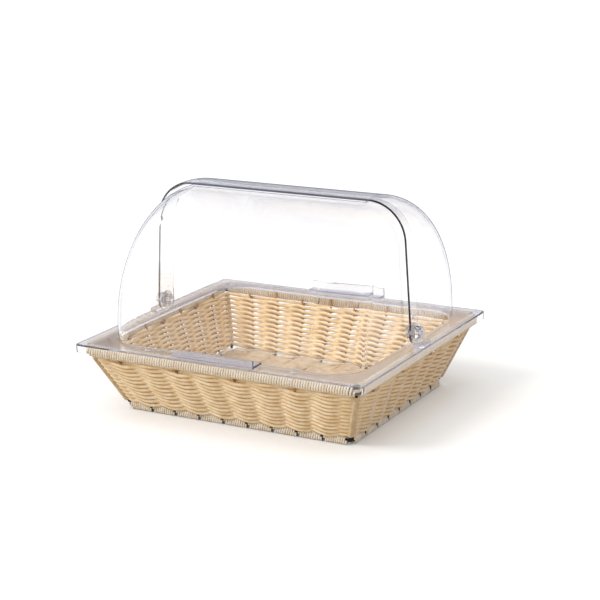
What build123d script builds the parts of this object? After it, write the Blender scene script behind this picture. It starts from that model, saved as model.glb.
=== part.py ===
from build123d import *
import math
import os

# Countertop bread display bin: a twined basket on a steel wire frame, a clear cover ring
# that stands on its rim, and two clear half-round shells that turn on one cross axis.
# Millimetres. X runs along the axis, -Y is the front and +Z is up. The origin is on the
# table, under the middle of the bin.

# Basket
rim_x, rim_y = 370.0, 330.0  # outside of the wrapped rim
base_x, base_y = 307.5, 248.2  # outside of the wrapped base
rim_top, rim_height, rim_corner = 86.2, 13.0, 15.8
base_height, base_corner = 10.5, 9.5
band = 8.5  # thickness of the wrapped bands
band_round = 2.5
wall = 8.6  # weaver, stake and weaver
front_stakes, side_stakes = 8, 7
stake_radius = 1.4
rim_wire_radius, rim_wire_spread = 1.5, 3.4
base_wire_radius = 2.0
post_radius, post_clear = 1.75, 1.2  # each post ends this far from the wires
turn_radius = 4.2  # weavers turned round a corner post
rim_gap, base_gap = 5.0, 6.5  # bare wire left at each corner
mitre_far = 40.0  # how far the area kept for a band runs past its outside
floor_low, floor_high = 5.0, 13.6
play = 0.15  # round a wire or a stake inside a wrapping or a weave
seam = 0.3  # between neighbouring woven pieces

# Cover ring
ring_x, ring_y, ring_top = 380.0, 340.0, 89.0
ring_sheet, ring_skirt, ring_flange = 2.5, 10.0, 25.0
ring_corner, ring_round, opening_corner = 5.0, 1.0, 40.0
pad_x, pad_y, pad_radius, pad_height = 97.0, 153.0, 4.0, 1.5
rib_width, rib_depth, rib_low = 6.0, 2.1, 79.5  # ribs that centre the skirt on the rim

# Shells
axis_height = 104.5
shell_sheet = 2.5
shell_bottom = 90.8
overlap = 12.9  # how far each shell's edge stands past the axis
draft = 0.061  # how far a side wall leans in, per millimetre of radius
boss_radius = 14.0  # the wall is flat round the pivot
outer_side, outer_radius, outer_corner = 174.4, 155.8, 48.6
inner_side, inner_radius, inner_corner = 169.0, 150.5, 47.7
strip_half, strip_width, strip_thick = 117.0, 3.6, 2.2
grip_bottom, grip_reach = 89.3, 170.0
grip_sheet, grip_round = 2.5, 0.7
grips = {"front": (53.0, 100.0), "rear": (50.0, 102.0)}  # half the length, and the top
glue = 0.02  # bonded faces stand this far apart

# Hinges
pin_radius, pin_play, pin_end = 3.0, 0.05, 162.5
head_radius, head_out, head_round = 6.5, 183.0, 1.2
ear_in, ear_out, ear_radius = 176.5, 180.3, 7.5
foot_out, foot_half, foot_top, foot_corner = 189.0, 15.0, 93.0, 7.0
cap_radius, cap_in, cap_out, cap_round = 6.0, 161.2, 166.2, 1.2
washers = {"inner": (169.2, 171.75, 10.5), "outer": (174.55, 176.35, 7.0)}

# Worked out
rim_mid = rim_top - rim_height / 2
base_mid = base_height / 2
rim_line = (rim_x / 2 - band / 2, rim_y / 2 - band / 2)
base_line = (base_x / 2 - band / 2, base_y / 2 - band / 2)
wall_bottom = base_height + seam
wall_top = rim_top - rim_height - seam
sides = {"front": (0, -1), "rear": (0, 1), "left": (-1, 0), "right": (1, 0)}
corners = {
    "front_left": (-1, -1),
    "front_right": (1, -1),
    "rear_left": (-1, 1),
    "rear_right": (1, 1),
}
axis = Axis((0, 0, axis_height), (1, 0, 0))
ring_seat = ring_top + glue  # underside of what is bonded to the ring

os.makedirs("parts", exist_ok=True)


def save(piece, name):
    """Label a finished sub-part and write its file."""
    piece.part.label = name
    export_step(piece.part, f"parts/{name}.step")


def blend(low, high, z):
    """A value at a height, from its values at the base band and at the rim band."""
    return low + (high - low) * (z - base_mid) / (rim_mid - base_mid)


def wall_line(z):
    """Half the basket's width and depth at a height, to the middle of its walls."""
    return blend(base_line[0], rim_line[0], z), blend(base_line[1], rim_line[1], z)


def corner_line(z):
    """The centre of a corner post at a height, as distances along X and Y."""
    inset = (blend(base_corner, rim_corner, z) - band / 2) * (1 - math.sqrt(0.5))
    return wall_line(z)[0] - inset, wall_line(z)[1] - inset


def mitre(side, half_x, half_y, gap):
    """The corners of the area that one side's band keeps, between slots at 45 degrees."""
    dx, dy = side
    shift = gap / math.sqrt(2)
    if dy:
        tip, reach = half_x - half_y, half_y + shift + mitre_far
        wide = tip + reach - shift
        return [(x, dy * y) for x, y in ((tip, shift), (wide, reach), (-wide, reach), (-tip, shift))]
    near, reach = half_x - half_y + shift, half_y + mitre_far
    return [(dx * near, 0), (dx * (near + reach), reach), (dx * (near + reach), -reach)]


def stake_ends(side, low, high):
    """The lower and upper ends of each stake in one wall, which fan out as they rise."""
    dx, dy = side
    count = front_stakes if dy else side_stakes
    ends = []
    for i in range(count):
        share = 2 * (i + 1) / (count + 1) - 1
        pair = []
        for z in (low, high):
            x, y = wall_line(z)
            pair.append((share * x, dy * y, z) if dy else (dx * x, share * y, z))
        ends.append(pair)
    return ends


def facing(sx, x):
    """A plane across the axis at a distance from the middle, facing outwards."""
    return Plane(origin=(sx * x, 0, axis_height), x_dir=(0, 1, 0), z_dir=(sx, 0, 0))


# Wire rings: two in the rim and one in the base

rings = {
    "rim_wire_upper": (rim_line, rim_corner, rim_mid + rim_wire_spread, rim_wire_radius),
    "rim_wire_lower": (rim_line, rim_corner, rim_mid - rim_wire_spread, rim_wire_radius),
    "base_wire": (base_line, base_corner, base_mid, base_wire_radius),
}
bores = {}
for name, (line, corner, z, radius) in rings.items():
    with BuildLine(Plane.XY.offset(z)) as path:
        x, y = line
        FilletPolyline((-x, -y), (x, -y), (x, y), (-x, y), radius=corner - band / 2, close=True)
    start = Plane(origin=path.line @ 0, z_dir=path.line % 0)
    with BuildPart() as wire:
        with BuildSketch(start):
            Circle(radius)
        sweep(path=path.line)
    save(wire, name)
    with BuildPart() as bore:
        with BuildSketch(start):
            Circle(radius + play)
        sweep(path=path.line)
    bores[name] = bore.part

# Wrapped bands of the rim and the base, one length for each side

bands = {
    "rim_wrap": (rim_x, rim_y, rim_corner, rim_top - rim_height, rim_height, rim_gap),
    "base_wrap": (base_x, base_y, base_corner, 0.0, base_height, base_gap),
}
for name, (x, y, corner, bottom, height, gap) in bands.items():
    for side, way in sides.items():
        with BuildPart() as wrap:
            with BuildSketch(Plane.XY.offset(bottom)):
                RectangleRounded(x, y, corner)
                RectangleRounded(x - 2 * band, y - 2 * band, corner - band, mode=Mode.SUBTRACT)
                with BuildLine():
                    Polyline(mitre(way, x / 2, y / 2, gap), close=True)
                make_face(mode=Mode.INTERSECT)
            extrude(amount=height)
            rims = faces().filter_by(Axis.Z).edges().filter_by(lambda edge: edge.length > 2 * band)
            fillet(rims, radius=band_round)
            for wire_name, bore in bores.items():
                if wire_name.startswith(name[:4]):
                    add(bore, mode=Mode.SUBTRACT)
        save(wrap, f"{side}_{name}")

# Corner posts and the weavers turned round them

post_low = base_mid + base_wire_radius + post_clear
post_high = rim_mid - rim_wire_spread - rim_wire_radius - post_clear
for corner, (sx, sy) in corners.items():
    (x0, y0), (x1, y1) = corner_line(post_low), corner_line(post_high)
    foot, head = Vector(sx * x0, sy * y0, post_low), Vector(sx * x1, sy * y1, post_high)
    lean = head - foot
    with BuildPart() as post:
        with BuildSketch(Plane(origin=foot, z_dir=lean)):
            Circle(post_radius)
        extrude(amount=lean.length)
    save(post, f"{corner}_post")

    slope = lean.length / lean.Z
    x, y = corner_line(wall_bottom)
    with BuildPart() as turns:
        with BuildSketch(Plane(origin=(sx * x, sy * y, wall_bottom))):
            Circle(turn_radius)
            Circle(post_radius * slope + play, mode=Mode.SUBTRACT)
        extrude(amount=(wall_top - wall_bottom) * slope, dir=lean.normalized())
    save(turns, f"{corner}_weave")

# Stakes and woven walls

for side, way in sides.items():
    dx, dy = way
    rods = stake_ends(way, wall_bottom, wall_top)
    with BuildPart() as stakes:
        for low, high in rods:
            with BuildSketch(Plane(origin=low)):
                Circle(stake_radius)
            reach = Vector(*high) - Vector(*low)
            extrude(amount=reach.length, dir=reach.normalized())
    save(stakes, f"{side}_stakes")

    rise = rim_mid - base_mid
    run = rim_line[1] - base_line[1] if dy else rim_line[0] - base_line[0]
    depth = wall * math.hypot(rise, run) / rise
    with BuildPart() as weave:
        for z in (wall_bottom, wall_top):
            x, y = wall_line(z)
            post_x, post_y = corner_line(z)
            with BuildSketch(Plane.XY.offset(z)):
                with Locations((dx * x, dy * y)):
                    if dy:
                        Rectangle(2 * (post_x - turn_radius - seam), depth)
                    else:
                        Rectangle(depth, 2 * (post_y - turn_radius - seam))
        loft()
        for low, high in rods:
            with BuildSketch(Plane(origin=low)):
                Circle(stake_radius + play)
            reach = Vector(*high) - Vector(*low)
            extrude(amount=reach.length, dir=reach.normalized(), mode=Mode.SUBTRACT)
    save(weave, f"{side}_weave")

# Floor of the basket, with canes across it from the front to the rear

floor_x, floor_y = base_x / 2 - band - seam, base_y / 2 - band - seam
floor_mid = (floor_low + floor_high) / 2
lanes = [low[0] for low, high in stake_ends(sides["front"], base_mid, rim_mid)]
cane_ends = Plane(origin=(0, -floor_y, floor_mid), x_dir=(1, 0, 0), z_dir=(0, 1, 0))
with BuildPart() as floor_stakes:
    with BuildSketch(cane_ends):
        with Locations(*[(x, 0) for x in lanes]):
            Circle(stake_radius)
    extrude(amount=2 * floor_y)
save(floor_stakes, "floor_stakes")

with BuildPart() as floor_weave:
    with BuildSketch(Plane.XY.offset(floor_low)):
        RectangleRounded(2 * floor_x, 2 * floor_y, base_corner - band)
    extrude(amount=floor_high - floor_low)
    with BuildSketch(cane_ends):
        with Locations(*[(x, 0) for x in lanes]):
            Circle(stake_radius + play)
    extrude(amount=2 * floor_y, mode=Mode.SUBTRACT)
save(floor_weave, "floor_weave")

# Cover ring: a flat flange with a skirt that drops over the rim

with BuildPart() as cover_frame:
    with BuildSketch(Plane.XY.offset(ring_top - ring_skirt)):
        RectangleRounded(ring_x, ring_y, ring_corner)
    extrude(amount=ring_skirt)
    fillet(faces().sort_by(Axis.Z)[-1].edges(), radius=ring_round)
    with BuildSketch(Plane.XY.offset(ring_top - ring_skirt)):
        RectangleRounded(ring_x - 2 * ring_sheet, ring_y - 2 * ring_sheet, ring_corner - ring_sheet)
    extrude(amount=ring_skirt - ring_sheet, mode=Mode.SUBTRACT)
    with BuildSketch(Plane.XY.offset(ring_top - ring_sheet)):
        RectangleRounded(ring_x - 2 * ring_flange, ring_y - 2 * ring_flange, opening_corner)
    extrude(amount=ring_sheet, mode=Mode.SUBTRACT)
save(cover_frame, "cover_frame")

for corner, (sx, sy) in corners.items():
    with BuildPart() as pad:
        with BuildSketch(Plane(origin=(sx * pad_x, sy * pad_y, ring_seat))):
            Circle(pad_radius)
        extrude(amount=pad_height)
        fillet(faces().sort_by(Axis.Z)[-1].edges(), radius=pad_height / 2)
    save(pad, f"{corner}_pad")

    rib_y = ring_y / 2 - ring_sheet - glue - rib_depth / 2
    with BuildPart() as rib:
        with BuildSketch(Plane(origin=(sx * pad_x, sy * rib_y, rib_low))):
            Rectangle(rib_width, rib_depth)
        extrude(amount=ring_top - ring_sheet - glue - rib_low)
    save(rib, f"{corner}_rib")

# Hinges: a post on the ring, a pin with its cap, and two washers, on each side

for side in ("left", "right"):
    sx = sides[side][0]
    outwards = Axis((0, 0, axis_height), (sx, 0, 0))

    with BuildPart() as hinge_post:
        with BuildSketch(Plane(origin=(sx * (ear_in + foot_out) / 2, 0, ring_seat))):
            Rectangle(foot_out - ear_in, 2 * foot_half)
            fillet(vertices().sort_by(Axis((0, 0, 0), (sx, 0, 0)))[-2:], radius=foot_corner)
        extrude(amount=foot_top - ring_seat)
        with BuildSketch(facing(sx, ear_in)):
            Circle(ear_radius)
            with Locations((0, sx * (ring_seat - axis_height) / 2)):
                Rectangle(2 * ear_radius, axis_height - ring_seat)
        extrude(amount=ear_out - ear_in)
        with BuildSketch(facing(sx, ear_in)):
            Circle(pin_radius + pin_play)
        extrude(amount=ear_out - ear_in, mode=Mode.SUBTRACT)
    save(hinge_post, f"{side}_hinge_post")

    with BuildPart() as pin:
        with BuildSketch(facing(sx, pin_end)):
            Circle(pin_radius)
        extrude(amount=ear_out + glue - pin_end)
        with BuildSketch(facing(sx, ear_out + glue)):
            Circle(head_radius)
        extrude(amount=head_out - ear_out - glue)
        fillet(edges().sort_by(outwards)[-1], radius=head_round)
    save(pin, f"{side}_pin")

    with BuildPart() as cap:
        with BuildSketch(facing(sx, cap_in)):
            Circle(cap_radius)
        extrude(amount=cap_out - cap_in)
        fillet(edges().sort_by(outwards)[0], radius=cap_round)
        with BuildSketch(facing(sx, pin_end - glue)):
            Circle(pin_radius + pin_play)
        extrude(amount=cap_out - pin_end + glue, mode=Mode.SUBTRACT)
    save(cap, f"{side}_cap")

    for place, (near, far, radius) in washers.items():
        with BuildPart() as washer:
            with BuildSketch(facing(sx, near)):
                Circle(radius)
                Circle(pin_radius + pin_play, mode=Mode.SUBTRACT)
            extrude(amount=far - near)
        save(washer, f"{side}_{place}_washer")

# Shells: a full round shell of revolution, cut down to the part that is kept

shells = {
    "front": (-1, inner_side, inner_radius, inner_corner),
    "rear": (1, outer_side, outer_radius, outer_corner),
}
for name, (way, side, radius, corner) in shells.items():
    with BuildPart() as shell:
        for cut, mode in ((0, Mode.ADD), (shell_sheet, Mode.SUBTRACT)):
            x, r = side - cut, radius - cut
            top = x - draft * (r - boss_radius)
            with BuildSketch(Plane.XY.offset(axis_height)):
                with BuildLine():
                    outline = [(-x, 0), (-x, boss_radius), (-top, r), (top, r), (x, boss_radius), (x, 0)]
                    Polyline(*outline, close=True)
                make_face()
                fillet(vertices().group_by(Axis.Y)[-1], radius=corner - cut)
            revolve(axis=axis, mode=mode)
        with BuildSketch(Plane.YZ.offset(-ring_x / 2)):
            with Locations((way * ring_y / 2, axis_height + ring_y / 2)):
                Rectangle(2 * ring_y, ring_y)
            with Locations((way * ring_y / 2, (axis_height + shell_bottom) / 2)):
                Rectangle(ring_y, axis_height - shell_bottom)
            with Locations((0, axis_height)):
                Circle(axis_height - shell_bottom)
            with Locations((way * (ring_y - overlap), axis_height)):
                Rectangle(2 * ring_y, 2 * ring_y, mode=Mode.INTERSECT)
        extrude(amount=ring_x, mode=Mode.INTERSECT)
        with BuildSketch(Plane.YZ.offset(-ring_x / 2)):
            with Locations((0, axis_height)):
                Circle(pin_radius + pin_play)
        extrude(amount=ring_x, mode=Mode.SUBTRACT)
    save(shell, f"{name}_shell")

    grip_half, grip_top = grips[name]
    with BuildPart() as grip:
        with BuildSketch(Plane.YZ.offset(-grip_half)):
            root, lip = way * (radius - shell_sheet), way * grip_reach
            inside, shelf = way * (grip_reach - grip_sheet), shell_bottom + grip_sheet
            with BuildLine():
                Polyline(
                    (root, shell_bottom),
                    (inside, shell_bottom),
                    (inside, grip_bottom),
                    (lip, grip_bottom),
                    (lip, grip_top),
                    (inside, grip_top),
                    (inside, shelf),
                    (root, shelf),
                    close=True,
                )
            make_face()
            fillet(vertices().sort_by(Axis((0, 0, 0), (0, way, 0)))[-2:], radius=grip_round)
            with Locations((0, axis_height)):
                Circle(radius + glue, mode=Mode.SUBTRACT)
        extrude(amount=2 * grip_half)
    save(grip, f"{name}_grip")

with BuildPart() as rear_edge_strip:
    with BuildSketch(Plane.YZ.offset(-strip_half)):
        with Locations((0, axis_height)):
            Circle(outer_radius - shell_sheet - glue)
            Circle(outer_radius - shell_sheet - strip_thick, mode=Mode.SUBTRACT)
        with Locations((strip_width / 2 - overlap, axis_height + outer_radius)):
            Rectangle(strip_width, outer_radius, mode=Mode.INTERSECT)
    extrude(amount=2 * strip_half)
save(rear_edge_strip, "rear_edge_strip")
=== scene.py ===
import math
import random

import bmesh
import bpy
from mathutils import Matrix, Vector


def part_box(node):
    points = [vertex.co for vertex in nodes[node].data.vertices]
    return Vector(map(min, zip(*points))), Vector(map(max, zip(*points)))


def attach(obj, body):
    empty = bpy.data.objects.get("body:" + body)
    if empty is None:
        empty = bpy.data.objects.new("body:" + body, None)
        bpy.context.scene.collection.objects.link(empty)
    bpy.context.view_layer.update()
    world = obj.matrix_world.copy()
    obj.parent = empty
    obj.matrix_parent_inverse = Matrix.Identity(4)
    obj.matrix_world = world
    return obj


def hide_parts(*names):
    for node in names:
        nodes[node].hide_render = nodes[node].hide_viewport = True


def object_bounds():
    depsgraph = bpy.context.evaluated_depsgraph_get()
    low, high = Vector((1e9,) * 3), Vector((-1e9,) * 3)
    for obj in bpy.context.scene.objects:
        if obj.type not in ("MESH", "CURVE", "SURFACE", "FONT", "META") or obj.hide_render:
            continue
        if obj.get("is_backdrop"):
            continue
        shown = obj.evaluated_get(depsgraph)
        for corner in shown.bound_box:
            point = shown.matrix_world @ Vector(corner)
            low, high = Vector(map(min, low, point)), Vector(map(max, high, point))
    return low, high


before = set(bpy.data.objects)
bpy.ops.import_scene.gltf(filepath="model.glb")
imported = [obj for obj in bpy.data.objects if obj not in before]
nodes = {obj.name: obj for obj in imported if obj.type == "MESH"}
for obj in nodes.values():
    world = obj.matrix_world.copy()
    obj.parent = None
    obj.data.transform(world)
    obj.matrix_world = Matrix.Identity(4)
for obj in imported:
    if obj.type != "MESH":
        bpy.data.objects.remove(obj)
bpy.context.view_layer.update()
scene = bpy.context.scene
mm = 0.001
print("frame loaded:", len(nodes), "CAD nodes")


# Colours and nodes


def hexColor(text):
    # sRGB hex to the linear colour that sockets take
    channels = [int(text[i : i + 2], 16) / 255 for i in (1, 3, 5)]
    linear = [c / 12.92 if c <= 0.04045 else ((c + 0.055) / 1.055) ** 2.4 for c in channels]
    return (*linear, 1.0)


def addNode(tree, kind, settings=None, links=None):
    # settings are the node's own properties, or values of its input sockets
    node = tree.nodes.new(kind)
    for key, value in (settings or {}).items():
        if isinstance(key, str) and hasattr(node, key):
            setattr(node, key, value)
        else:
            node.inputs[key].default_value = value
    for key, source in (links or {}).items():
        tree.links.new(source, node.inputs[key])
    return node


def newMaterial(name):
    material = bpy.data.materials.new(name)
    material.use_nodes = True
    tree = material.node_tree
    tree.nodes.clear()
    output = addNode(tree, "ShaderNodeOutputMaterial")
    return material, tree, output


def colorRamp(tree, source, stops):
    ramp = addNode(tree, "ShaderNodeValToRGB", links={"Fac": source})
    elements = ramp.color_ramp.elements
    while len(elements) < len(stops):
        elements.new(0.5)
    for element, (place, color) in zip(elements, stops):
        element.position = place
        element.color = hexColor(color)
    return ramp.outputs["Color"]


def clampedMath(tree, operation, first, second):
    return addNode(
        tree, "ShaderNodeMath", {"operation": operation, "use_clamp": True}, {0: first, 1: second}
    ).outputs["Value"]


def blendColor(tree, factor, first, second):
    # sockets 6 and 7 and output 2 are the ones for colours
    mix = addNode(tree, "ShaderNodeMix", {"data_type": "RGBA"}, {0: factor})
    for socket, color in ((6, first), (7, second)):
        if isinstance(color, bpy.types.NodeSocket):
            tree.links.new(color, mix.inputs[socket])
        else:
            mix.inputs[socket].default_value = color
    return mix.outputs[2]


# Materials

strandFinish = {
    "weave": {"colors": ("#E3C699", "#EFD7B0", "#F7E7CB"), "roughness": 0.3},
    "wrap": {"colors": ("#DDCDB5", "#E9DECC", "#F3EBE0"), "roughness": 0.38},
    # painted shade: the corner strands are the same wicker, coloured darker and greyer for the shade
    # where they turn between two walls
    "corner": {"colors": ("#C9AE86", "#D6BF9B", "#E2D0B2"), "roughness": 0.42},
    # painted shade: the floor strands are the same wicker, coloured darker and greyer for the shade
    # inside the basket
    "floor": {"colors": ("#B8A083", "#C5B095", "#D3C1AA"), "roughness": 0.4},
    # painted shade: the stakes are coloured brown for the shade in the gaps between rows, where they
    # show
    "stake": {"colors": ("#9C6A38", "#B98A52", "#CBA069"), "roughness": 0.5},
    "patch": 9.0 * mm,  # size of the tone patches along a strand
    "grain": 1.4 * mm,  # unevenness left by the die, drawn four times as coarse so that it shows
    "bump": 0.12,
    "bumpDepth": 0.4 * mm,
    "rougher": (-0.07, 0.09),  # how far the grain changes the roughness
}


def strandMaterial(name, finish, seed):
    # Polyethylene wicker strand, extruded and coloured through: satin, with soft changes of tone
    # along it and a faintly uneven skin; the corner, floor and stake copies get darker colours that
    # paint in shade
    material, tree, output = newMaterial(name)
    place = addNode(tree, "ShaderNodeTexCoord").outputs["Object"]
    shifted = addNode(
        tree, "ShaderNodeMapping", {"Location": (seed, seed * 0.7, seed * 1.3)}, {"Vector": place}
    ).outputs["Vector"]
    patches = addNode(
        tree,
        "ShaderNodeTexNoise",
        {"Scale": 1 / strandFinish["patch"], "Detail": 3.0, "Roughness": 0.55},
        {"Vector": shifted},
    ).outputs["Fac"]
    dark, middle, light = finish["colors"]
    color = colorRamp(tree, patches, [(0.28, dark), (0.5, middle), (0.72, light)])
    grain = addNode(
        tree,
        "ShaderNodeTexNoise",
        {"Scale": 1 / strandFinish["grain"], "Detail": 2.0},
        {"Vector": shifted},
    ).outputs["Fac"]
    smoother, rougher = strandFinish["rougher"]
    rough = addNode(
        tree,
        "ShaderNodeMapRange",
        {"To Min": finish["roughness"] + smoother, "To Max": finish["roughness"] + rougher},
        {"Value": grain},
    ).outputs["Result"]
    bump = addNode(
        tree,
        "ShaderNodeBump",
        {"Strength": strandFinish["bump"], "Distance": strandFinish["bumpDepth"]},
        {"Height": grain},
    ).outputs["Normal"]
    shader = addNode(
        tree,
        "ShaderNodeBsdfPrincipled",
        {"IOR": 1.5},
        {"Base Color": color, "Roughness": rough, "Normal": bump},
    )
    tree.links.new(shader.outputs["BSDF"], output.inputs["Surface"])
    return material


wireFinish = {
    "dark": "#1E1B1A",
    "light": "#4A4440",
    "spots": 260.0,  # noise scale, which gives oxide spots of about 4 mm
    "metallic": 0.75,
    "roughness": (0.32, 0.57),
}


def wireMaterial():
    # Drawn mild steel wire, oxide black: dark, with a dull metal sheen
    material, tree, output = newMaterial("drawnSteelWire")
    place = addNode(tree, "ShaderNodeTexCoord").outputs["Object"]
    noise = addNode(
        tree, "ShaderNodeTexNoise", {"Scale": wireFinish["spots"], "Detail": 4.0}, {"Vector": place}
    ).outputs["Fac"]
    color = colorRamp(tree, noise, [(0.35, wireFinish["dark"]), (0.7, wireFinish["light"])])
    smooth, rough = wireFinish["roughness"]
    roughness = addNode(
        tree, "ShaderNodeMapRange", {"To Min": smooth, "To Max": rough}, {"Value": noise}
    ).outputs["Result"]
    shader = addNode(
        tree,
        "ShaderNodeBsdfPrincipled",
        {"Metallic": wireFinish["metallic"]},
        {"Base Color": color, "Roughness": roughness},
    )
    tree.links.new(shader.outputs["BSDF"], output.inputs["Surface"])
    return material


clearFinish = {
    "ior": 1.58,
    # roughness of the polished faces and of the worn flat tops, and depth of the tint
    "shell": {"smooth": 0.012, "haze": 0.02, "density": 11.0},
    "ring": {"smooth": 0.02, "haze": 0.16, "density": 11.0},
    "hinge": {"smooth": 0.03, "haze": 0.05, "density": 11.0},
    "grip": {"smooth": 0.02, "haze": 0.06, "density": 34.0},
    "flat": 0.9,  # how far upright a face's normal is where the wear begins
    "smudge": {"scale": 60.0, "amount": 0.03, "offset": -0.012},
    "absorb": "#B2B6DA",
    "edge": "#7F848F",  # painted shade: grey laid on the sheet where it is seen nearly edge on, for the darkening that bent light gives there
    "edgeFrom": 0.82,
    "edgeTo": 0.93,
    "shadow": "#FDFBF7",  # what one face lets through from a lamp
}


def clearMaterial(name, finish):
    # Injection-moulded polycarbonate: glass clear, faintly blue down its cut edges,
    # with fine wear on the flat tops, and painted grey shade where it is seen nearly edge on
    material, tree, output = newMaterial(name)
    smudge = clearFinish["smudge"]
    place = addNode(tree, "ShaderNodeTexCoord").outputs["Object"]
    smudges = addNode(
        tree,
        "ShaderNodeTexNoise",
        {"Scale": smudge["scale"], "Detail": 5.0, "Roughness": 0.6},
        {"Vector": place},
    ).outputs["Fac"]
    normal = addNode(tree, "ShaderNodeNewGeometry").outputs["Normal"]
    upward = addNode(tree, "ShaderNodeSeparateXYZ", links={"Vector": normal}).outputs["Z"]
    flatTop = addNode(
        tree,
        "ShaderNodeMapRange",
        {"From Min": clearFinish["flat"], "To Min": finish["smooth"], "To Max": finish["haze"]},
        {"Value": upward},
    ).outputs["Result"]
    worn = addNode(
        tree,
        "ShaderNodeMath",
        {"operation": "MULTIPLY_ADD", 1: smudge["amount"], 2: smudge["offset"]},
        {0: smudges},
    ).outputs["Value"]
    roughness = clampedMath(tree, "ADD", flatTop, worn)
    # painted shade: a grey diffuse is mixed in towards the sheet's outline, where it is seen nearly edge
    # on
    facing = addNode(tree, "ShaderNodeLayerWeight", {"Blend": 0.5}).outputs["Facing"]
    edge = addNode(
        tree,
        "ShaderNodeMapRange",
        {"From Min": clearFinish["edgeFrom"], "From Max": clearFinish["edgeTo"]},
        {"Value": facing},
    ).outputs["Result"]
    clear = addNode(
        tree,
        "ShaderNodeBsdfPrincipled",
        {"Base Color": hexColor("#FFFFFF"), "IOR": clearFinish["ior"], "Transmission Weight": 1.0},
        {"Roughness": roughness},
    )
    edgeShadeGrey = addNode(tree, "ShaderNodeBsdfDiffuse", {"Color": hexColor(clearFinish["edge"])})
    shader = addNode(
        tree,
        "ShaderNodeMixShader",
        links={0: edge, 1: clear.outputs["BSDF"], 2: edgeShadeGrey.outputs["BSDF"]},
    )
    # lamps and diffuse light go straight through
    lamp = addNode(tree, "ShaderNodeBsdfTransparent", {"Color": hexColor(clearFinish["shadow"])})
    path = addNode(tree, "ShaderNodeLightPath").outputs
    through = clampedMath(tree, "ADD", path["Is Shadow Ray"], path["Is Diffuse Ray"])
    mix = addNode(
        tree,
        "ShaderNodeMixShader",
        links={0: through, 1: shader.outputs["Shader"], 2: lamp.outputs["BSDF"]},
    )
    absorb = addNode(
        tree,
        "ShaderNodeVolumeAbsorption",
        {"Color": hexColor(clearFinish["absorb"]), "Density": finish["density"]},
    )
    tree.links.new(mix.outputs["Shader"], output.inputs["Surface"])
    tree.links.new(absorb.outputs["Volume"], output.inputs["Volume"])
    return material


washerFinish = {"colors": ("#E6E9EF", "#F4F6FA"), "mottle": 500.0, "roughness": 0.2, "clear": 0.9}


def nylonMaterial():
    # Washers punched from thin clear nylon sheet: glassy, with a faint mottle
    material, tree, output = newMaterial("punchedNylon")
    place = addNode(tree, "ShaderNodeTexCoord").outputs["Object"]
    noise = addNode(
        tree, "ShaderNodeTexNoise", {"Scale": washerFinish["mottle"], "Detail": 2.0}, {"Vector": place}
    ).outputs["Fac"]
    dull, bright = washerFinish["colors"]
    color = colorRamp(tree, noise, [(0.3, dull), (0.7, bright)])
    clear, rough = washerFinish["clear"], washerFinish["roughness"]
    shader = addNode(
        tree,
        "ShaderNodeBsdfPrincipled",
        {"Roughness": rough, "Transmission Weight": clear, "IOR": 1.53},
        {"Base Color": color},
    )
    tree.links.new(shader.outputs["BSDF"], output.inputs["Surface"])
    return material


weaveMaterial = strandMaterial("wickerStrand", strandFinish["weave"], 0.0)
wrapMaterial = strandMaterial("wickerWrapping", strandFinish["wrap"], 0.31)
cornerShadedMaterial = strandMaterial("wickerCornerPaintedShade", strandFinish["corner"], 0.43)
floorShadedMaterial = strandMaterial("wickerFloorStrandPaintedShade", strandFinish["floor"], 0.57)
stakeShadedMaterial = strandMaterial("wickerStakePaintedShade", strandFinish["stake"], 0.83)
steelMaterial = wireMaterial()
shellMaterial = clearMaterial("mouldedPolycarbonateShell", clearFinish["shell"])
ringMaterial = clearMaterial("mouldedPolycarbonateRing", clearFinish["ring"])
hingeMaterial = clearMaterial("mouldedPolycarbonateHinge", clearFinish["hinge"])
gripMaterial = clearMaterial("mouldedPolycarbonateGrip", clearFinish["grip"])
washerMaterial = nylonMaterial()
clearMaterials = (shellMaterial, ringMaterial, hingeMaterial, gripMaterial)

nodeMaterials = {
    "rim_wire_upper": steelMaterial,
    "rim_wire_lower": steelMaterial,
    "base_wire": steelMaterial,
    "_post": steelMaterial,
    "_stakes": stakeShadedMaterial,
    "cover_frame": ringMaterial,
    "_pad": hingeMaterial,
    "_rib": ringMaterial,
    "_hinge_post": hingeMaterial,
    "_pin": hingeMaterial,
    "_cap": hingeMaterial,
    "_washer": washerMaterial,
    "_shell": shellMaterial,
    "_grip": gripMaterial,
    "_strip": shellMaterial,
}
for name, node in nodes.items():
    for ending, material in nodeMaterials.items():
        if name.endswith(ending):
            node.data.materials.clear()
            node.data.materials.append(material)
print("materials made")


# Basket frame lines, worked out from the CAD nodes


def boxOf(name):
    low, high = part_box(name)
    return Vector(low), Vector(high)


rimLow, rimHigh = boxOf("rim_wire_upper")
baseLow, baseHigh = boxOf("base_wire")
rimWire = (rimHigh.z - rimLow.z) / 2
baseWire = (baseHigh.z - baseLow.z) / 2
bandLow, bandHigh = boxOf("front_rim_wrap")
footLow, footHigh = boxOf("front_base_wrap")
wallLow, wallHigh = boxOf("front_weave")
floorLow, floorHigh = boxOf("floor_weave")
rimMid = (bandLow.z + bandHigh.z) / 2
baseMid = (footLow.z + footHigh.z) / 2
rimLine = Vector((rimHigh.x - rimWire, rimHigh.y - rimWire))
baseLine = Vector((baseHigh.x - baseWire, baseHigh.y - baseWire))
rimCorner, baseCorner = 11.55 * mm, 5.25 * mm  # corner radii of the two bands' centre lines
sides = {  # bays are the spaces between stakes, from corner to corner
    "front": {"out": Vector((0, -1, 0)), "along": Vector((1, 0, 0)), "bays": 9},
    "rear": {"out": Vector((0, 1, 0)), "along": Vector((-1, 0, 0)), "bays": 9},
    "left": {"out": Vector((-1, 0, 0)), "along": Vector((0, -1, 0)), "bays": 8},
    "right": {"out": Vector((1, 0, 0)), "along": Vector((0, 1, 0)), "bays": 8},
}

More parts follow.
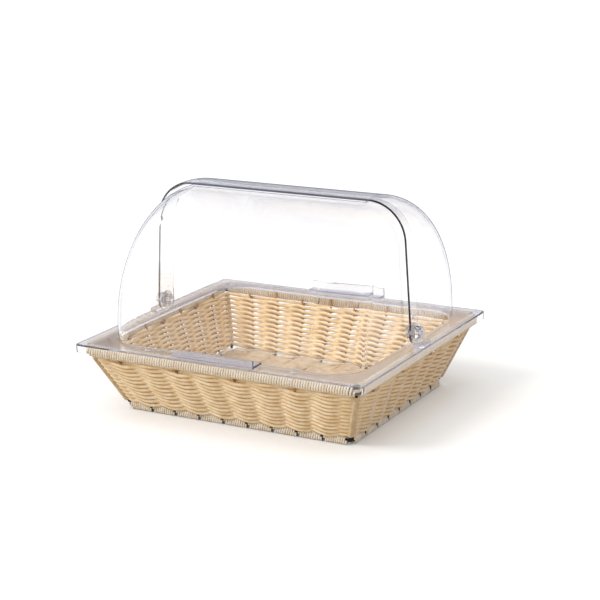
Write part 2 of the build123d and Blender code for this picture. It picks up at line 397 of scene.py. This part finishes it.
seeds = {"walls": 11, "stakeEnds": 31, "floor": 5}  # of the random draws


def lineAt(z):
    # half the width and depth of the basket at a height, to the middle of its walls
    return baseLine + (rimLine - baseLine) * (z - baseMid) / (rimMid - baseMid)


def cornerInset(z):
    share = (z - baseMid) / (rimMid - baseMid)
    return (baseCorner + (rimCorner - baseCorner) * share) * (1 - math.sqrt(0.5))


def wallFrame(side, share, z):
    # a point on the middle of a wall, the way out of it and the way up it
    half = lineAt(z)
    out, along = side["out"], side["along"]
    reach = half.y if out.y else half.x
    width = half.x if out.y else half.y
    point = out * reach + along * (share * width) + Vector((0, 0, z))
    grow = rimLine - baseLine
    lean = (grow.y if out.y else grow.x) / (rimMid - baseMid)
    normal = (out - Vector((0, 0, lean))).normalized()
    up = (out * lean + Vector((0, 0, 1))).normalized()
    return point, normal, up


def ovalProfile(radius, tall, facets):
    # a closed outline, tall times as high as it is wide
    profile = bpy.data.curves.new("profile", "CURVE")
    profile.dimensions = "2D"
    spline = profile.splines.new("POLY")
    spline.points.add(facets - 1)
    spline.use_cyclic_u = True
    for i, target in enumerate(spline.points):
        angle = 2 * math.pi * i / facets
        target.co = (radius * math.cos(angle), radius * tall * math.sin(angle), 0, 1)
    holder = bpy.data.objects.new("profile", profile)
    scene.collection.objects.link(holder)
    return holder


def strandPiece(name, paths, radius, material, facets=8, tall=1.0):
    # strands of the basket along lists of points, joined in one mesh
    curve = bpy.data.curves.new(name + "Path", "CURVE")
    curve.dimensions = "3D"
    profile = None
    if tall == 1.0:
        curve.twist_mode = "MINIMUM"
        curve.bevel_mode = "ROUND"
        curve.bevel_depth = radius
        curve.bevel_resolution = (facets - 4) // 2
    else:
        profile = ovalProfile(radius, tall, facets)
        curve.twist_mode = "Z_UP"
        curve.bevel_mode = "OBJECT"
        curve.bevel_object = profile
    curve.use_fill_caps = True
    for points in paths:
        spline = curve.splines.new("POLY")
        spline.points.add(len(points) - 1)
        for target, point in zip(spline.points, points):
            target.co = (*point, 1.0)
    holder = bpy.data.objects.new(name + "Holder", curve)
    scene.collection.objects.link(holder)
    bpy.context.view_layer.update()
    ready = holder.evaluated_get(bpy.context.evaluated_depsgraph_get())
    mesh = bpy.data.meshes.new_from_object(ready)
    bpy.data.objects.remove(holder)
    bpy.data.curves.remove(curve)
    if profile:
        bpy.data.curves.remove(profile.data)
    mesh.name = name
    for polygon in mesh.polygons:
        polygon.use_smooth = True
    mesh.materials.clear()
    mesh.materials.append(material)
    piece = bpy.data.objects.new(name, mesh)
    scene.collection.objects.link(piece)
    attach(piece, "basket")
    return piece


# Walls: rows of two strands that twist half a turn for each space between stakes

twining = {
    "rows": 11,
    "single": 0.62,  # height of the one-strand row at the top, in rows
    "raised": 0.6 * mm,  # how far that row is pushed up under the rim
    "radius": 1.5 * mm,
    "tall": 1.45,  # the strand is this many times as high as it is thick
    "facets": 12,
    "depth": 3.3 * mm,  # how far a strand swings out of the wall's middle
    "height": 1.4 * mm,  # how far it swings up and down its row
    "quick": 0.5,  # under 1, the two strands change places close to the stake
    "stagger": 0.5 * mm,  # the outer strand sits this far under the middle of its row
    "steps": 14,  # points for each bay
    "end": 0.06,  # bays left out at each corner
    "fade": 0.55,  # bays over which the swing dies away into the corner post
    "loose": 0.28 * mm,  # uneven tension, up and down
    "looseDeep": 0.196 * mm,  # and in and out
}


def smoothStep(x):
    x = min(1.0, max(0.0, x))
    return x * x * (3 - 2 * x)


def signedPower(value, power):
    return math.copysign(abs(value) ** power, value)


def wander(chance, count, size):
    # a slowly changing offset, with one random value for each bay
    values = [chance.uniform(-size, size) for _ in range(count + 3)]

    def at(s):
        i = int(s)
        return values[i] + (values[i + 1] - values[i]) * smoothStep(s - i)

    return at


def twinedWall(name, side, seed):
    chance = random.Random(seed)
    t = twining
    bays, paths = side["bays"], []
    pitch = (wallHigh.z - wallLow.z) / (t["rows"] + t["single"])
    for row in range(t["rows"] + 1):
        top = row == t["rows"]
        z = wallLow.z + (row + 0.5) * pitch
        if top:
            z = wallLow.z + (row + t["single"] / 2) * pitch + t["raised"]
        for turn in (1,) if top else (1, -1):
            lift = wander(chance, bays, t["loose"])
            push = wander(chance, bays, t["looseDeep"])
            points = []
            count = int((bays - 2 * t["end"]) * t["steps"])
            for i in range(count + 1):
                s = t["end"] + (bays - 2 * t["end"]) * i / count
                nearEnd = min(s, bays - s)
                hold = smoothStep(nearEnd / t["fade"])
                angle = math.pi * s
                deep = turn * math.cos(angle) * t["depth"] * hold + push(s) * hold
                deep -= cornerInset(z) * (1 - hold)
                rise = lift(s)
                if not top:
                    swap = signedPower(math.sin(angle), t["quick"]) * t["height"]
                    rise -= turn * (swap + math.cos(angle) * t["stagger"]) * hold
                point, normal, up = wallFrame(side, 2 * s / bays - 1, z)
                points.append(point + normal * deep + up * rise)
            paths.append(points)
    piece = strandPiece(name, paths, t["radius"], weaveMaterial, facets=t["facets"], tall=t["tall"])
    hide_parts(name.replace("Strands", "_weave"))


for index, (name, side) in enumerate(sides.items()):
    twinedWall(name + "Strands", side, seeds["walls"] + index)
print("walls twined")


# Bands: a strand wound round the wires of the rim and the base

wrapping = {
    "rim": {
        "pitch": 3.3 * mm,
        "radius": 1.36 * mm,
        "wide": 8.5 * mm,
        "tall": 13.0 * mm,
        "lean": 0.2,  # how far a turn leans over, as a slope
        "gap": 3.2 * mm,  # bare wire at each corner
    },
    "base": {
        "pitch": 2.85 * mm,
        "radius": 1.28 * mm,
        "wide": 8.5 * mm,
        "tall": 10.5 * mm,
        "lean": 0.16,
        "gap": 4.5 * mm,
        "stakeGap": 0.5 * mm,  # half the slot that each stake leaves
    },
    "tie": {
        "radius": 0.6 * mm,
        "wide": 7.4 * mm,
        "tall": 9.0 * mm,
        "lean": 0.25,
        "slot": 2.0 * mm,  # half the length of band that it keeps to
        "turn": 2.6,  # radians round the band
    },
    "steps": 14,  # points for each turn
    "square": 0.5,  # how square the section is: 1 is an ellipse, 0 a rectangle
}


def bandPoint(side, half, corner, distance):
    # the band's centre line: distance runs from the middle of one corner to the next
    out, along = side["out"], side["along"]
    reach = half.y if out.y else half.x
    width = half.x if out.y else half.y
    arc = corner * math.pi / 4
    straight = 2 * (width - corner)
    if distance < arc:
        angle = math.pi / 4 - distance / corner
        center = out * (reach - corner) - along * (width - corner)
        way = out * math.cos(angle) - along * math.sin(angle)
        return center + way * corner, way
    if distance > arc + straight:
        angle = (distance - arc - straight) / corner
        center = out * (reach - corner) + along * (width - corner)
        way = out * math.cos(angle) + along * math.sin(angle)
        return center + way * corner, way
    return out * reach + along * (distance - arc - (width - corner)), out


def bandLength(side, half, corner):
    width = half.x if side["out"].y else half.y
    return 2 * (width - corner) + corner * math.pi / 2


def turnPoint(side, half, corner, middle, values, angle, distance, start, end):
    # a point of a strand wound round the band, angle 0 being its outer face
    a = values["wide"] / 2 - values["radius"]
    b = values["tall"] / 2 - values["radius"]
    outward = a * signedPower(math.cos(angle), wrapping["square"])
    upward = b * signedPower(math.sin(angle), wrapping["square"])
    lean = values["lean"] * upward * math.cos(angle)
    point, way = bandPoint(side, half, corner, min(end, max(start, distance + lean)))
    return point + way * outward + Vector((0, 0, middle + upward))


def woundTurns(side, half, corner, middle, values, start, end):
    # one strand wound from start to end along the band
    turns = max(1, round((end - start) / values["pitch"]))
    count = turns * wrapping["steps"]
    points = []
    for i in range(count + 1):
        angle = 2 * math.pi * i / wrapping["steps"]
        distance = start + (end - start) * i / count
        points.append(turnPoint(side, half, corner, middle, values, angle, distance, start, end))
    return points


def tiePoints(side, slot):
    # part of a turn of wire over the outer face of the base band
    tie, points = wrapping["tie"], []
    start, end = slot - tie["slot"], slot + tie["slot"]
    for i in range(wrapping["steps"] + 1):
        angle = tie["turn"] * (i / wrapping["steps"] - 0.5)
        points.append(turnPoint(side, baseLine, baseCorner, baseMid, tie, angle, slot, start, end))
    return points


for name, side in sides.items():
    rim = wrapping["rim"]
    length = bandLength(side, rimLine, rimCorner)
    gap = rim["gap"] / 2 + rim["radius"]
    path = woundTurns(side, rimLine, rimCorner, rimMid, rim, gap, length - gap)
    piece = strandPiece(name + "RimWrapping", [path], rim["radius"], wrapMaterial)
    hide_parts(name + "_rim_wrap")

    base, bays = wrapping["base"], side["bays"]
    length = bandLength(side, baseLine, baseCorner)
    gap = base["gap"] / 2 + base["radius"]
    slots = [length / 2 + (2 * i / bays - 1) * length / 2 for i in range(1, bays)]
    starts = [gap] + [slot + base["stakeGap"] + base["radius"] for slot in slots]
    ends = [slot - base["stakeGap"] - base["radius"] for slot in slots] + [length - gap]
    paths = [
        woundTurns(side, baseLine, baseCorner, baseMid, base, start, end)
        for start, end in zip(starts, ends)
    ]
    piece = strandPiece(name + "BaseWrapping", paths, base["radius"], wrapMaterial)
    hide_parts(name + "_base_wrap")

    ties = [tiePoints(side, slot) for slot in slots]
    piece = strandPiece(name + "BaseTies", ties, wrapping["tie"]["radius"], steelMaterial)
print("bands wound")


# Stakes: their ends come up the inside of the rim band

stakeEnd = {
    "radius": 1.45 * mm,
    "steps": 5,
    "short": 3.0 * mm,  # how far up the band every other end reaches
    "shortMore": 2.0 * mm,
    "long": 10.5 * mm,
    "longLess": 1.5 * mm,
    "below": 3.0 * mm,  # length under the band
    "proud": 0.4,  # its middle stands this share of its radius off the band
    "bend": 1.2,  # slope of the bend round the band's lower edge
}


def stakeEnds(side, seed):
    chance = random.Random(seed)
    e, paths = stakeEnd, []
    clear = wrapping["rim"]["wide"] / 2 + e["radius"] * e["proud"]
    start = bandLow.z - e["below"]
    for i in range(1, side["bays"]):
        draw = chance.random()
        reach = e["long"] - e["longLess"] * draw if i % 2 else e["short"] + e["shortMore"] * draw
        points = []
        for j in range(e["steps"] + 1):
            z = start + (reach + e["below"]) * j / e["steps"]
            point = wallFrame(side, 2 * i / side["bays"] - 1, min(z, rimMid))[0]
            depth = min(clear, (z - start) * e["bend"])
            points.append(Vector((point.x, point.y, z)) - side["out"] * depth)
        paths.append(points)
    return paths


for index, (name, side) in enumerate(sides.items()):
    paths = stakeEnds(side, seeds["stakeEnds"] + index)
    piece = strandPiece(name + "StakeEnds", paths, stakeEnd["radius"], stakeShadedMaterial)
print("stake ends turned up")


# Corners: a strand wound round each post

cornerTurns = {
    "pitch": 2.5 * mm,
    "radius": 1.3 * mm,
    "turn": 2.75 * mm,  # from the post's middle to the strand's
    "end": 1.5 * mm,  # left free above and below
    "steps": 12,  # points for each turn
}
cornerWays = {"front_left": (-1, -1), "front_right": (1, -1), "rear_left": (-1, 1), "rear_right": (1, 1)}


def postAt(way, z):
    half, inset = lineAt(z), cornerInset(z)
    return Vector((way[0] * (half.x - inset), way[1] * (half.y - inset), z))


for cornerName, way in cornerWays.items():
    low = postAt(way, wallLow.z + cornerTurns["end"])
    high = postAt(way, wallHigh.z - cornerTurns["end"])
    lean = high - low
    first = lean.orthogonal().normalized()
    second = lean.normalized().cross(first)
    turns = round(lean.length / cornerTurns["pitch"])
    count = turns * cornerTurns["steps"]
    points = []
    for i in range(count + 1):
        angle = 2 * math.pi * i / cornerTurns["steps"]
        ring = first * math.cos(angle) + second * math.sin(angle)
        points.append(low + lean * i / count + ring * cornerTurns["turn"])
    title = "".join(word.capitalize() for word in cornerName.split("_"))
    piece = strandPiece("corner" + title, [points], cornerTurns["radius"], cornerShadedMaterial)
    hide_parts(cornerName + "_weave")
print("corners wound")


# Floor: strands from side to side in four bands, which go over and under the canes in turn

floorWeave = {
    "radius": 1.5 * mm,
    "pitch": 2.95 * mm,
    "bands": 4,
    "change": 0.26,  # share of a band over which the humps move across to the next cane
    "swing": 2.8 * mm,
    "skew": 0.16,  # how far the humps slant as they go back
    "steps": 8,  # points for each bay
    "loose": 0.25 * mm,
}


def wovenFloor():
    f = floorWeave
    chance = random.Random(seeds["floor"])
    middle = (floorLow + floorHigh) / 2
    halfX = (floorHigh.x - floorLow.x) / 2 - f["radius"]
    halfY = (floorHigh.y - floorLow.y) / 2 - f["radius"]
    bay = 2 * baseLine.x / sides["front"]["bays"]
    rows = int(2 * halfY / f["pitch"]) + 1
    steps = int(2 * halfX / bay * f["steps"])
    paths = []
    for row in range(rows):
        y = -halfY + 2 * halfY * row / (rows - 1)
        place = (row + 0.5) * f["bands"] / rows
        band = int(place)
        bandMiddle = -halfY + 2 * halfY * (band + 0.5) / f["bands"]
        moved = band + smoothStep(0.5 + (place - band - 1) / f["change"])
        moved -= 1 - smoothStep(0.5 + (place - band) / f["change"])
        lift = wander(chance, sides["front"]["bays"] + 1, f["loose"])
        points = []
        for i in range(steps + 1):
            x = -halfX + 2 * halfX * i / steps
            phase = math.pi * ((x - f["skew"] * (y - bandMiddle)) / bay + 0.5 + moved)
            z = middle.z + f["swing"] * math.sin(phase) + lift((x + halfX) / bay)
            points.append(Vector((x, y, z)))
        paths.append(points)
    piece = strandPiece("floorStrands", paths, f["radius"], floorShadedMaterial)
    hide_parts("floor_weave")


wovenFloor()
print("floor woven")


# Table, light and camera

studio = {
    "table": "#E2E2E2",
    "tableHalf": 12.0,  # metres
    "tableBounce": "#B8AA92",  # how the table colours the light that it throws back up
    "tableGlow": 0.11,  # white added to the table where it is seen
    "tableThrough": 0.22,  # and where it is seen through the clear parts
    "backdrop": 1.03,  # strength of the white that shows past the object
    "white": 1.15,  # and of the white that shows through it, near the horizon
    "aside": "#9898A8",  # the room overhead, seen through bent light
    "overhead": (0.1, 0.4),  # how steeply a ray climbs where that begins and is full
    "mirror": "#8888A0",  # the room that gloss and clear faces mirror
    "tableMirror": "#C8C8D4",
    "windows": [  # mirrored only, each fading over its edge
        {"way": (-0.93, -0.15, 0.33), "strength": 5.0, "edge": (0.8, 0.95)},
        {"way": (-0.48, -0.3, 0.82), "strength": 2.2, "edge": (0.8, 0.97)},
    ],
    "toward": (-0.15, -0.3, 0.94),  # the way to the bright side of the room
    "brightEdge": (-0.35, 1.0),
    "bright": 1.45,
    "dim": 0.1,
    "key": {"power": 1.5, "angle": 24.0, "from": (-1.3, -1.4, 1.8), "at": (0, 0, 0.1)},
}


def rayKinds(tree):
    # a ray that passed through glass counts as glossy too, so it is taken off the mirrored ones
    path = addNode(tree, "ShaderNodeLightPath").outputs
    seen = clampedMath(tree, "ADD", path["Is Camera Ray"], path["Is Transmission Ray"])
    mirrored = clampedMath(tree, "SUBTRACT", path["Is Glossy Ray"], path["Is Transmission Ray"])
    return path, seen, mirrored


def shareToward(tree, way, aim, edge):
    # 1 for rays that run the way of aim, falling to 0 for those further off
    low, high = edge
    along = addNode(
        tree, "ShaderNodeVectorMath", {"operation": "DOT_PRODUCT", 1: aim}, {0: way}
    ).outputs["Value"]
    return addNode(
        tree, "ShaderNodeMapRange", {"From Min": low, "From Max": high}, {"Value": along}
    ).outputs["Result"]


def plainWhite(strength):
    return (strength, strength, strength, 1.0)


def makeTable():
    mesh = bpy.data.meshes.new("table")
    form = bmesh.new()
    bmesh.ops.create_grid(form, x_segments=1, y_segments=1, size=studio["tableHalf"])
    form.to_mesh(mesh)
    form.free()
    table = bpy.data.objects.new("table", mesh)
    scene.collection.objects.link(table)
    material, tree, output = newMaterial("whiteTable")
    path, seen, mirrored = rayKinds(tree)
    color = blendColor(
        tree, path["Is Diffuse Ray"], hexColor(studio["table"]), hexColor(studio["tableBounce"])
    )
    plain = addNode(tree, "ShaderNodeBsdfDiffuse", links={"Color": color})
    glow, through = plainWhite(studio["tableGlow"]), plainWhite(studio["tableThrough"])
    glow = blendColor(tree, path["Is Transmission Ray"], glow, through)
    glow = blendColor(tree, seen, plainWhite(0.0), glow)
    white = addNode(tree, "ShaderNodeEmission", {"Strength": 1.0}, {"Color": glow})
    lit = addNode(
        tree, "ShaderNodeAddShader", links={0: plain.outputs["BSDF"], 1: white.outputs["Emission"]}
    )
    gloss = addNode(
        tree, "ShaderNodeEmission", {"Color": hexColor(studio["tableMirror"]), "Strength": 1.0}
    )
    mix = addNode(
        tree,
        "ShaderNodeMixShader",
        links={0: mirrored, 1: lit.outputs["Shader"], 2: gloss.outputs["Emission"]},
    )
    tree.links.new(mix.outputs["Shader"], output.inputs["Surface"])
    mesh.materials.append(material)
    table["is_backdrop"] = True


def makeWorld():
    world = bpy.data.worlds.new("softRoom")
    scene.world = world
    world.use_nodes = True
    tree = world.node_tree
    tree.nodes.clear()
    output = addNode(tree, "ShaderNodeOutputWorld")
    path, seen, mirrored = rayKinds(tree)
    way = addNode(tree, "ShaderNodeTexCoord").outputs["Generated"]
    room = addNode(
        tree,
        "ShaderNodeMapRange",
        {"To Min": studio["dim"], "To Max": studio["bright"]},
        {"Value": shareToward(tree, way, studio["toward"], studio["brightEdge"])},
    ).outputs["Result"]
    overhead = shareToward(tree, way, (0, 0, 1), studio["overhead"])
    through = blendColor(tree, overhead, plainWhite(studio["white"]), hexColor(studio["aside"]))
    shown = blendColor(tree, path["Is Camera Ray"], through, plainWhite(studio["backdrop"]))
    reflected = hexColor(studio["mirror"])
    for window in studio["windows"]:
        share = shareToward(tree, way, window["way"], window["edge"])
        reflected = blendColor(tree, share, reflected, plainWhite(window["strength"]))
    shown = blendColor(tree, mirrored, shown, reflected)
    seen = clampedMath(tree, "ADD", seen, mirrored)
    lit = addNode(tree, "ShaderNodeBackground", {"Color": plainWhite(1.0)}, {"Strength": room})
    visible = addNode(tree, "ShaderNodeBackground", {"Strength": 1.0}, {"Color": shown})
    mix = addNode(
        tree,
        "ShaderNodeMixShader",
        links={0: seen, 1: lit.outputs["Background"], 2: visible.outputs["Background"]},
    )
    tree.links.new(mix.outputs["Shader"], output.inputs["Surface"])


def makeLamp(name, values):
    # a broad lamp far away, which the clear parts don't mirror
    lamp = bpy.data.lights.new(name, "SUN")
    lamp.energy = values["power"]
    lamp.angle = math.radians(values["angle"])
    holder = bpy.data.objects.new(name, lamp)
    holder.location = values["from"]
    aim = Vector(values["at"]) - Vector(values["from"])
    holder.rotation_euler = aim.to_track_quat("-Z", "Y").to_euler()
    scene.collection.objects.link(holder)
    clearParts = bpy.data.collections.new("clearParts")
    for node in nodes.values():
        if node.data.materials[0] in clearMaterials:
            clearParts.objects.link(node)
    for member in clearParts.collection_objects:
        member.light_linking.link_state = "EXCLUDE"
    holder.light_linking.receiver_collection = clearParts


view = {
    "place": (0.98622, -1.74532, 0.67166),
    "azimuth": 28.94,  # degrees, as the next two
    "elevation": 15.33,
    "roll": -1.03,
    "lens": 103.32,
    "sensor": 36.0,
    "far": 50.0,  # metres, well past the edge of the table
}


def makeCamera():
    azimuth, elevation = math.radians(view["azimuth"]), math.radians(view["elevation"])
    back = Vector(
        (
            math.sin(azimuth) * math.cos(elevation),
            -math.cos(azimuth) * math.cos(elevation),
            math.sin(elevation),
        )
    )
    right = Vector((math.cos(azimuth), math.sin(azimuth), 0))
    up = back.cross(right)
    roll = math.radians(view["roll"])
    acrossAxis = right * math.cos(roll) + up * math.sin(roll)
    upAxis = up * math.cos(roll) - right * math.sin(roll)
    camera = bpy.data.objects.new("camera", bpy.data.cameras.new("camera"))
    camera.data.lens = view["lens"]
    camera.data.sensor_width = view["sensor"]
    camera.data.clip_end = view["far"]
    turn = Matrix((acrossAxis, upAxis, back)).transposed().to_4x4()
    camera.matrix_world = Matrix.Translation(view["place"]) @ turn
    scene.collection.objects.link(camera)
    scene.camera = camera


makeTable()
makeWorld()
makeLamp("keyLamp", studio["key"])
makeCamera()
scene.view_settings.view_transform = "Standard"
scene.cycles.max_bounces = 32  # light runs far along inside the clear sheets
scene.cycles.glossy_bounces = 24
scene.cycles.transmission_bounces = 32
scene.cycles.transparent_max_bounces = 48
scene.cycles.caustics_reflective = False
scene.cycles.caustics_refractive = False
print("studio lit")

low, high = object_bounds()
